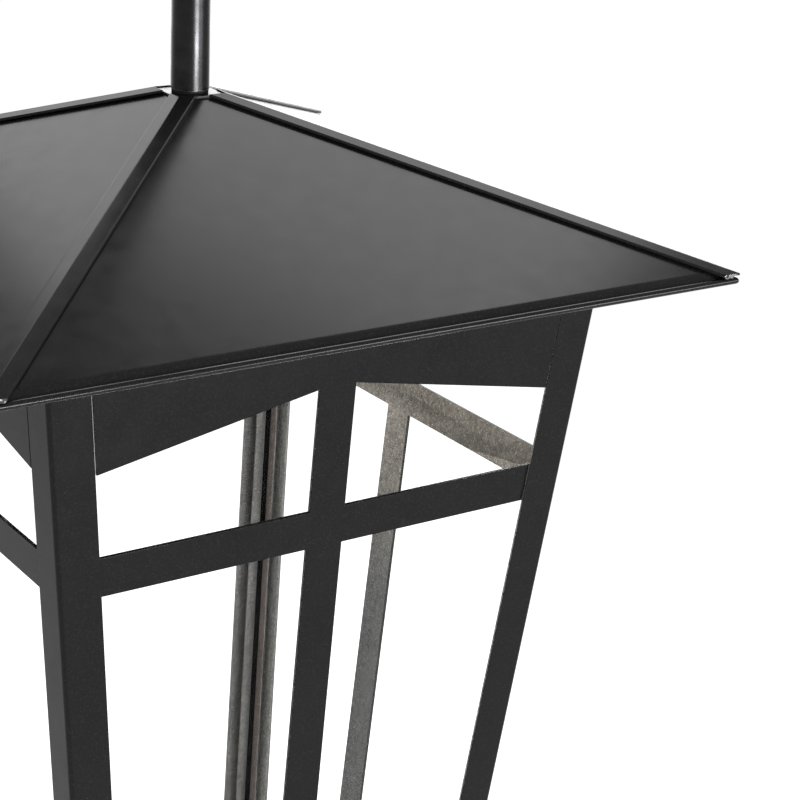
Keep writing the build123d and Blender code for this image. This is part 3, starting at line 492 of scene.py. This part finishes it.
def studio_floor(name, studio):
    """Pale floor that reads white, shows white in metal and glass behind, and takes the shadow."""
    tree, shader = start_material(name)
    place = object_coordinates(tree)
    cloud = noise(tree, place, 3.0)
    shade = blend_colours(tree, cloud, studio.floor[:], shaded(studio.floor, 0.99))
    tree.links.new(shade, shader.inputs["Base Color"])
    shader.inputs["Roughness"].default_value = 0.9
    shader.inputs["Specular IOR Level"].default_value = 0.0
    turn = math.radians(studio.back_turn)
    way_back = tree.nodes.new("ShaderNodeVectorMath")
    way_back.operation = "DOT_PRODUCT"
    way_back.inputs[1].default_value = (math.sin(turn), math.cos(turn), 0.0)
    tree.links.new(place, way_back.inputs[0])
    mirrored = ramp(
        tree,
        way_back.outputs["Value"],
        (BACK_GLOW_STARTS, BACK_GLOW_FULL),
        to=(studio.front_glow, studio.back_glow),
    )
    path = tree.nodes.new("ShaderNodeLightPath")
    glow_in_glass = studio.floor_glow + FLOOR_GLOW_ADDED_IN_GLASS
    in_gloss = choose(tree, path.outputs["Is Glossy Ray"], 0.0, mirrored)
    in_glass = choose(tree, path.outputs["Is Transmission Ray"], in_gloss, glow_in_glass)
    glow = choose(tree, path.outputs["Is Camera Ray"], in_glass, studio.floor_glow)
    shader.inputs["Emission Color"].default_value = WHITE
    tree.links.new(glow, shader.inputs["Emission Strength"])


def surround_world(studio):
    """White surround to the eye and through glass, and a soft even sky as a light."""
    world = bpy.data.worlds.new("studio_surround")
    world.use_nodes = True
    tree = world.node_tree
    background = tree.nodes["Background"]
    path = tree.nodes.new("ShaderNodeLightPath")
    in_gloss = choose(tree, path.outputs["Is Glossy Ray"], studio.sky, studio.mirrored_sky)
    in_glass = choose(tree, path.outputs["Is Transmission Ray"], in_gloss, SURROUND_IN_GLASS)
    shown = choose(tree, path.outputs["Is Camera Ray"], in_glass, SURROUND_TO_THE_EYE)
    background.inputs["Color"].default_value = WHITE
    tree.links.new(shown, background.inputs["Strength"])
    return world


# Pieces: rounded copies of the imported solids.
def clear_selection():
    bpy.ops.object.select_all(action="DESELECT")


def place_piece(piece, node):
    """Lets a finished piece stand for its node on the node's body."""
    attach(piece, BODY_OF[node])
    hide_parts(node)


def rounded_copy(node, finish, edge, segments=2, worn=None):
    """A closed copy of a node with its sharp edges rounded and its curves shaded smooth.

    The roundings get the worn finish where one is named.
    """
    clear_selection()
    solid = frame["nodes"][node]
    solid.select_set(True)
    bpy.context.view_layer.objects.active = solid
    bpy.ops.object.duplicate()
    piece = bpy.context.object
    piece.name = f"{node}_finished"
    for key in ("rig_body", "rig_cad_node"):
        if key in piece:
            del piece[key]
    bpy.ops.object.mode_set(mode="EDIT")
    bpy.ops.mesh.select_all(action="SELECT")
    bpy.ops.mesh.remove_doubles(threshold=MERGE_DISTANCE)
    bpy.ops.mesh.customdata_custom_splitnormals_clear()
    bpy.ops.mesh.dissolve_limited(angle_limit=FLAT_ANGLE, delimit=set())
    bpy.ops.object.mode_set(mode="OBJECT")
    piece.data.materials.clear()
    piece.data.materials.append(bpy.data.materials[finish])
    if worn:
        piece.data.materials.append(bpy.data.materials[worn])
    if edge > 0:
        bevel = piece.modifiers.new("edges", "BEVEL")
        bevel.width = edge
        bevel.segments = segments
        bevel.limit_method = "ANGLE"
        bevel.angle_limit = ROUNDED_ANGLE
        bevel.use_clamp_overlap = True
        bevel.material = 1 if worn else -1
        bpy.ops.object.modifier_apply(modifier=bevel.name)
    bpy.ops.object.shade_smooth_by_angle(angle=SMOOTH_ANGLE)
    even = piece.modifiers.new("even_faces", "WEIGHTED_NORMAL")
    even.keep_sharp = True
    even.weight = 100
    bpy.ops.object.modifier_apply(modifier=even.name)
    place_piece(piece, node)
    return piece


def coat_faces(piece, finish, chosen):
    """Gives another finish to the faces that a rule on their middle and normal chooses."""
    piece.data.materials.append(bpy.data.materials[finish])
    index = len(piece.data.materials) - 1
    for face in piece.data.polygons:
        if chosen(face.center, face.normal):
            face.material_index = index


def depths(point):
    """How far a point lies inside the body's side faces, along x and along y."""
    reach = BODY_HALF_AT_EAVE + BODY_TAPER * (point.z - EAVE_Z)
    return reach - abs(point.x), reach - abs(point.y)


def faces_inwards(middle, normal):
    """True on the faces that look towards the stem's axis."""
    outward = normal.x * middle.x + normal.y * middle.y
    return outward < -INWARD_PART * max(abs(middle.x), abs(middle.y))


def faces_inwards_sideways(middle, normal):
    """True on the inner faces along the left and right sides."""
    return faces_inwards(middle, normal) and abs(normal.x) > abs(normal.y)


def in_channel_groove(middle, normal):
    """True on the floor and walls of the groove that each glazing channel leaves at its corner."""
    lesser, greater = sorted(depths(middle))
    in_corner = greater < GROOVE_WALLS_END and lesser < GROOVE_FLOOR
    return in_corner and faces_inwards(middle, normal)


def past_the_root(middle, normal):
    """True on the faces and roundings of a channel away from the corner groove."""
    return max(depths(middle)) > ROUNDINGS_START


# Operators: one for each group of pieces, and those of the studio.
class LANTERN_OT_finishes(bpy.types.Operator):
    """Makes every finish of the lantern"""

    bl_idname = "lantern.finishes"
    bl_label = "Make the finishes"

    def execute(self, context):
        scene = context.scene
        paint, metal, glass = scene.lantern_paint, scene.lantern_metal, scene.lantern_glass
        satin_black("roof_black", paint, specks=0.25, share=0.75)
        satin_black("body_black", paint, specks=0.2, share=0.75, gloss=0.36, rougher=0.06)
        # Nearly black coat for the channels' corner grooves: painted shade where the recess is dark.
        satin_black("painted_groove_shade", paint, specks=0.0, share=0.3, gloss=0.1, rougher=0.3)
        thin_coat("inner_coat", paint, paint.inside, paint.inside, gloss=1.3)
        # The inside coat made paler where it faces sideways: painted light.
        thin_coat("side_coat_painted_light", paint, paint.side_inside_painted_light, paint.side_inside_painted_light, gloss=1.3)
        thin_coat("bar_overspray", paint, paint.overspray, paint.low_overspray, gloss=0.8)
        # Brownish coat for the channels' sideways faces, made darker as painted shade of the
        # pockets.
        thin_coat("groove_brown_with_painted_shade", paint, paint.groove, paint.groove, gloss=0.9)
        painted_cut_end_glints("painted_cut_end_glints", paint, metal.bare[:])
        # Bare steel for cut edges; on the channels' root roundings it makes a painted highlight
        # line.
        plated_metal("bare_steel_and_highlight", metal.bare[:])
        # Pale metal for the hip caps' roundings, a painted highlight line.
        plated_metal("painted_edge_highlight", metal.edge_highlight_tint[:], roughness=0.25, streaks=0.0)
        plated_metal("stem_gunmetal", metal.stem[:], roughness=0.25, streaks=0.2, darker=0.55)
        plated_metal("zinc_plate", metal.zinc[:], roughness=0.34)
        plated_metal("holder_brass", metal.brass[:])
        plated_metal("bulb_shell", metal.bulb_shell[:], streaks=0.0)
        clear_glass("pane_glass", glass.pane[:])
        frosted_glass("bulb_frost", glass.frost[:])
        glazed_porcelain("porcelain", glass.porcelain[:])
        rubber("gasket_rubber")
        dyed_zinc("ground_green", metal.ground[:])
        return {"FINISHED"}


class LANTERN_OT_stem(bpy.types.Operator):
    """Rounds and finishes the stem's tubes, its coupling, knuckle, gasket and nipple"""

    bl_idname = "lantern.stem"
    bl_label = "Stem"

    def execute(self, context):
        edge = context.scene.lantern_edges.turned
        for node in ("lower_stem", "upper_stem"):
            rounded_copy(node, "stem_gunmetal", edge, worn="bare_steel_and_highlight")
        rounded_copy("stem_knuckle", "stem_gunmetal", edge)
        for node in ("stem_coupling", "stem_nipple"):
            rounded_copy(node, "zinc_plate", edge / 2)
        rounded_copy("stem_gasket", "gasket_rubber", edge / 2)
        return {"FINISHED"}


class LANTERN_OT_swivel(bpy.types.Operator):
    """Rounds and finishes the swivel's spindle, housing and pin"""

    bl_idname = "lantern.swivel"
    bl_label = "Swivel"

    def execute(self, context):
        edge = context.scene.lantern_edges.turned
        for node in ("swivel_spindle", "swivel_housing", "swivel_pin"):
            rounded_copy(node, "stem_gunmetal", edge)
        return {"FINISHED"}


class LANTERN_OT_ceiling(bpy.types.Operator):
    """Rounds and finishes the canopy, its strap, studs and nuts"""

    bl_idname = "lantern.ceiling"
    bl_label = "Ceiling fittings"

    def execute(self, context):
        edge = context.scene.lantern_edges.sheet
        rounded_copy("canopy", "roof_black", edge)
        rounded_copy("canopy_cap_nuts", "body_black", edge)
        for node in ("mounting_strap", "strap_studs", "spindle_lock_nut"):
            rounded_copy(node, "zinc_plate", edge)
        rounded_copy("ground_screw", "ground_green", edge)
        return {"FINISHED"}


class LANTERN_OT_roof(bpy.types.Operator):
    """Rounds and finishes the roof's panels, hip caps and apex plate"""

    bl_idname = "lantern.roof"
    bl_label = "Roof"

    def execute(self, context):
        edge = context.scene.lantern_edges.sheet
        for side in SIDES:
            rounded_copy(f"roof_panel_{side}", "roof_black", edge / 2)
        for corner in CORNERS:
            # The caps' roundings get the painted edge highlight.
            cap = rounded_copy(f"hip_cap_{corner}", "roof_black", edge, worn="painted_edge_highlight")
            reach = max(abs(point.co.x) for point in cap.data.vertices) - CUT_END_DEPTH
            # The caps' lower ends get bare patches whose white glints are painted highlights.
            coat_faces(
                cap,
                "painted_cut_end_glints",
                lambda middle, normal: max(abs(middle.x), abs(middle.y)) > reach,
            )
        rounded_copy("apex_plate", "roof_black", edge)
        return {"FINISHED"}


class LANTERN_OT_body(bpy.types.Operator):
    """Rounds and finishes the posts, bands, crosses, channels and frames"""

    bl_idname = "lantern.body"
    bl_label = "Body"

    def execute(self, context):
        edge = context.scene.lantern_edges.sheet
        for corner in CORNERS:
            post = rounded_copy(f"corner_post_{corner}", "body_black", edge)
            coat_faces(post, "inner_coat", faces_inwards)
            # The posts' sideways inner faces get the paler copy of the coat, painted light.
            coat_faces(post, "side_coat_painted_light", faces_inwards_sideways)
            # The channels' root roundings stay bare steel, a painted highlight line at each fold.
            channel = rounded_copy(
                f"glazing_channel_{corner}", "inner_coat", edge, worn="bare_steel_and_highlight"
            )
            coat_faces(channel, "inner_coat", past_the_root)
            # The channels' sideways faces get the brownish coat with painted shade.
            coat_faces(channel, "groove_brown_with_painted_shade", faces_inwards_sideways)
            # The channels' corner grooves get painted shade.
            coat_faces(channel, "painted_groove_shade", in_channel_groove)
        for side in SIDES:
            for node in (f"chevron_band_{side}", f"window_cross_{side}"):
                sheet = rounded_copy(node, "body_black", edge)
                coat_faces(sheet, "bar_overspray", faces_inwards)
        rounded_copy("head_frame", "bar_overspray", edge)
        base = rounded_copy("base_frame", "body_black", edge)
        coat_faces(base, "inner_coat", faces_inwards)
        return {"FINISHED"}


class LANTERN_OT_glazing(bpy.types.Operator):
    """Finishes the four panes"""

    bl_idname = "lantern.glazing"
    bl_label = "Panes"

    def execute(self, context):
        edge = context.scene.lantern_edges.pane
        for side in SIDES:
            rounded_copy(f"glass_pane_{side}", "pane_glass", edge, segments=1)
        return {"FINISHED"}


class LANTERN_OT_lampholder(bpy.types.Operator):
    """Rounds and finishes the hanger strap, its fasteners, the lampholder and the bulb"""

    bl_idname = "lantern.lampholder"
    bl_label = "Lampholder and bulb"

    def execute(self, context):
        edge = context.scene.lantern_edges.turned
        for node in ("hanger_strap", "strap_screws", "lock_washer", "nipple_nut"):
            rounded_copy(node, "zinc_plate", edge / 2)
        for node in ("lampholder_cap", "screw_shell", "center_contact"):
            rounded_copy(node, "holder_brass", edge / 4)
        rounded_copy("lampholder_body", "porcelain", edge)
        rounded_copy("bulb_base", "bulb_shell", edge / 2)
        rounded_copy("bulb_glass", "bulb_frost", 0.0)
        return {"FINISHED"}


def add_softbox(name, turn, lift, away, size, brightness, height=0.0, beam=None):
    """A flat light at a distance from a point on the stem's axis, which it faces.

    The turn goes from the back to the right and the lift upwards, both in degrees, and the point
    lies at a height over the eave. A beam, in degrees, narrows the light and keeps its brightness.
    """
    turn, lift = math.radians(turn), math.radians(lift)
    target = Vector((0.0, 0.0, EAVE_Z + height))
    level = math.cos(lift)
    out = Vector((math.sin(turn) * level, math.cos(turn) * level, math.sin(lift)))
    clear_selection()
    bpy.ops.object.light_add(type="AREA", location=target + out * away)
    light = bpy.context.object
    light.name = name
    light.data.shape = "RECTANGLE"
    light.data.size, light.data.size_y = size
    light.data.energy = brightness * math.pi * size[0] * size[1]
    if beam:
        half = math.radians(beam) / 2
        light.data.spread = 2 * half
        light.data.energy *= 1.0 - half / math.tan(half)
    light.rotation_mode = "QUATERNION"
    light.rotation_quaternion = (-out).to_track_quat("-Z", "Y")


class LANTERN_OT_stage(bpy.types.Operator):
    """Adds the pale floor, the white surround and the softboxes"""

    bl_idname = "lantern.stage"
    bl_label = "Studio"

    def execute(self, context):
        studio = context.scene.lantern_studio
        clear_selection()
        bpy.ops.mesh.primitive_plane_add(size=FLOOR_SIZE, location=(0.0, 0.0, 0.0))
        floor = context.object
        floor.name = "studio_floor"
        floor.data.transform(Matrix.Translation((0.0, 0.0, FLOOR_Z)))
        studio_floor("studio_floor", studio)
        floor.data.materials.append(bpy.data.materials["studio_floor"])
        context.scene.world = surround_world(studio)
        add_softbox(
            "right_softbox", turn=47.0, lift=27.0, away=2.2, size=(1.2, 2.1), brightness=1.6
        )
        add_softbox(
            "left_softbox", turn=20.0, lift=23.0, away=2.2, size=(1.1, 1.9), brightness=1.25
        )
        add_softbox(
            "back_strip", turn=31.0, lift=10.0, away=2.1, size=(0.7, 0.35), brightness=2.6
        )
        add_softbox(
            "low_front_panel",
            turn=171.0,
            lift=-11.0,
            away=2.6,
            size=(0.9, 0.5),
            brightness=24.0,
            height=0.15,
            beam=80.0,
        )
        add_softbox(
            "lip_strip",
            turn=146.0,
            lift=0.0,
            away=2.6,
            size=(0.8, 0.6),
            brightness=8.0,
            beam=80.0,
        )
        return {"FINISHED"}


class LANTERN_OT_camera(bpy.types.Operator):
    """Places the camera where the photograph was taken from"""

    bl_idname = "lantern.camera"
    bl_label = "Camera"

    def execute(self, context):
        studio = context.scene.lantern_studio
        turn, lift = math.radians(studio.azimuth), math.radians(studio.elevation)
        roll = math.radians(studio.roll)
        level = math.cos(lift)
        back = Vector((math.sin(turn) * level, -math.cos(turn) * level, math.sin(lift)))
        level_right = Vector((math.cos(turn), math.sin(turn), 0.0))
        level_up = back.cross(level_right)
        right = level_right * math.cos(roll) + level_up * math.sin(roll)
        up = level_up * math.cos(roll) - level_right * math.sin(roll)
        clear_selection()
        bpy.ops.object.camera_add(location=Vector(studio.eye) + Vector((0.0, 0.0, EAVE_Z)))
        camera = context.object
        camera.name = "photo_camera"
        camera.rotation_mode = "QUATERNION"
        camera.rotation_quaternion = Matrix((right, up, back)).transposed().to_quaternion()
        camera.data.sensor_fit = "HORIZONTAL"
        camera.data.sensor_width = 36.0
        camera.data.lens = studio.lens
        camera.data.clip_start = 0.05
        camera.data.clip_end = 100.0
        context.scene.camera = camera
        context.scene.view_settings.view_transform = "Standard"
        return {"FINISHED"}


STEPS = (
    LANTERN_OT_finishes,
    LANTERN_OT_stem,
    LANTERN_OT_swivel,
    LANTERN_OT_ceiling,
    LANTERN_OT_roof,
    LANTERN_OT_body,
    LANTERN_OT_glazing,
    LANTERN_OT_lampholder,
    LANTERN_OT_stage,
    LANTERN_OT_camera,
)


class LANTERN_PT_panel(bpy.types.Panel):
    """Lists the lantern's steps and settings"""

    bl_idname = "LANTERN_PT_panel"
    bl_label = "Pendant lantern"
    bl_space_type = "VIEW_3D"
    bl_region_type = "UI"
    bl_category = "Lantern"

    def draw(self, context):
        for step in STEPS:
            self.layout.operator(step.bl_idname)
        for name in SETTINGS:
            settings = getattr(context.scene, name)
            box = self.layout.box()
            for key in settings.bl_rna.properties.keys():
                if key not in ("rna_type", "name"):
                    box.prop(settings, key)


def register():
    for name, settings in SETTINGS.items():
        bpy.utils.register_class(settings)
        setattr(bpy.types.Scene, name, bpy.props.PointerProperty(type=settings))
    for step in STEPS:
        bpy.utils.register_class(step)
    bpy.utils.register_class(LANTERN_PT_panel)


def unregister():
    bpy.utils.unregister_class(LANTERN_PT_panel)
    for step in reversed(STEPS):
        bpy.utils.unregister_class(step)
    for name, settings in SETTINGS.items():
        delattr(bpy.types.Scene, name)
        bpy.utils.unregister_class(settings)


def main():
    register()
    bpy.ops.lantern.finishes()
    bpy.ops.lantern.stem()
    bpy.ops.lantern.swivel()
    bpy.ops.lantern.ceiling()
    bpy.ops.lantern.roof()
    bpy.ops.lantern.body()
    bpy.ops.lantern.glazing()
    bpy.ops.lantern.lampholder()
    bpy.ops.lantern.stage()
    bpy.ops.lantern.camera()
    clear_selection()


if __name__ == "__main__":
    main()
